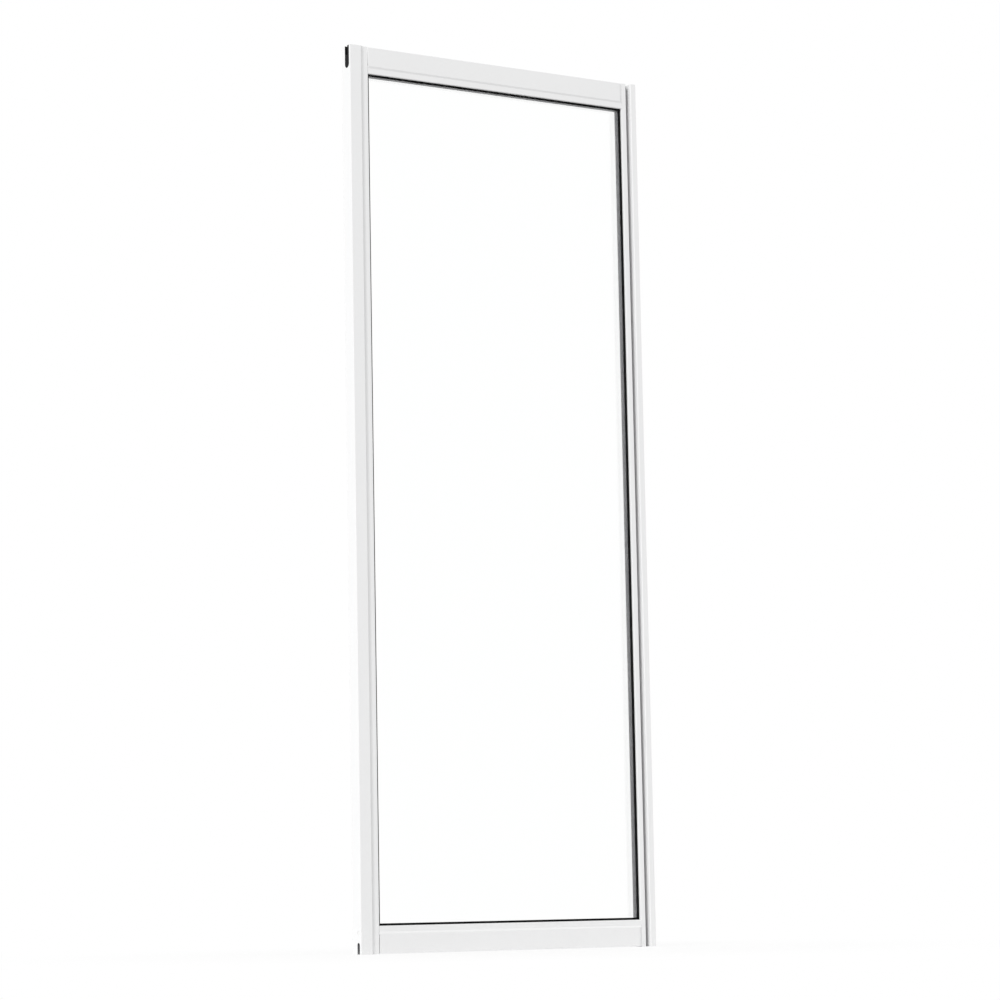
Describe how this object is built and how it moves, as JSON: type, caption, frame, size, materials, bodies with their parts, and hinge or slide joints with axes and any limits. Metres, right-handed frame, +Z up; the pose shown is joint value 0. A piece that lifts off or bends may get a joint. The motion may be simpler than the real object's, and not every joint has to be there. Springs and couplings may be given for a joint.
{
  "type": "glazed sliding door leaf",
  "caption": "Tall glazed leaf of a sliding door: square-cut white extruded stiles and rails round a sealed double glass unit, with an interlock slot down one side.",
  "frame": {"origin": "on the flat outer face of the lock stile, at its lower end and at the middle of the leaf's depth", "axes": "+X along the width from the lock stile to the interlock stile, +Y from the front to the back, +Z up"},
  "size_m": [0.75, 0.038, 1.97],
  "materials": {
    "white_coating": "white powder coat, satin",
    "clear_glass": "clear float glass",
    "black_gasket": "black extruded rubber",
    "edge_sealant": "dark sealant",
    "spacer_metal": "matt mill finish",
    "black_nylon": "moulded black nylon",
    "white_plastic": "white moulded plastic",
    "block_rubber": "dark moulded rubber",
    "zinc_steel": "bright zinc plate",
    "wheel_nylon": "natural nylon",
    "grey_pile": "woven pile on a flat backing"
  },
  "bodies": {
    "root": {"lock_stile": "white_coating", "interlock_stile": "white_coating", "top_rail": "white_coating", "bottom_rail": "white_coating", "bead_left": "white_coating", "bead_right": "white_coating", "bead_top": "white_coating", "bead_bottom": "white_coating", "outer_pane": "clear_glass", "inner_pane": "clear_glass", "front_gasket_left": "black_gasket", "front_gasket_right": "black_gasket", "front_gasket_bottom": "black_gasket", "front_gasket_top": "black_gasket", "back_gasket_left": "black_gasket", "back_gasket_right": "black_gasket", "back_gasket_bottom": "black_gasket", "back_gasket_top": "black_gasket", "edge_seal": "edge_sealant", "spacer_frame": "spacer_metal", "guide_block": "black_nylon", "hole_plugs": "white_plastic", "setting_block_left": "block_rubber", "setting_block_right": "block_rubber", "roller_carriage_left": "zinc_steel", "roller_carriage_right": "zinc_steel", "roller_axle_left": "zinc_steel", "roller_axle_right": "zinc_steel", "corner_screws": "zinc_steel", "roller_wheel_left": "wheel_nylon", "roller_wheel_right": "wheel_nylon", "interlock_pile": "grey_pile"}
  },
  "joints": []
}
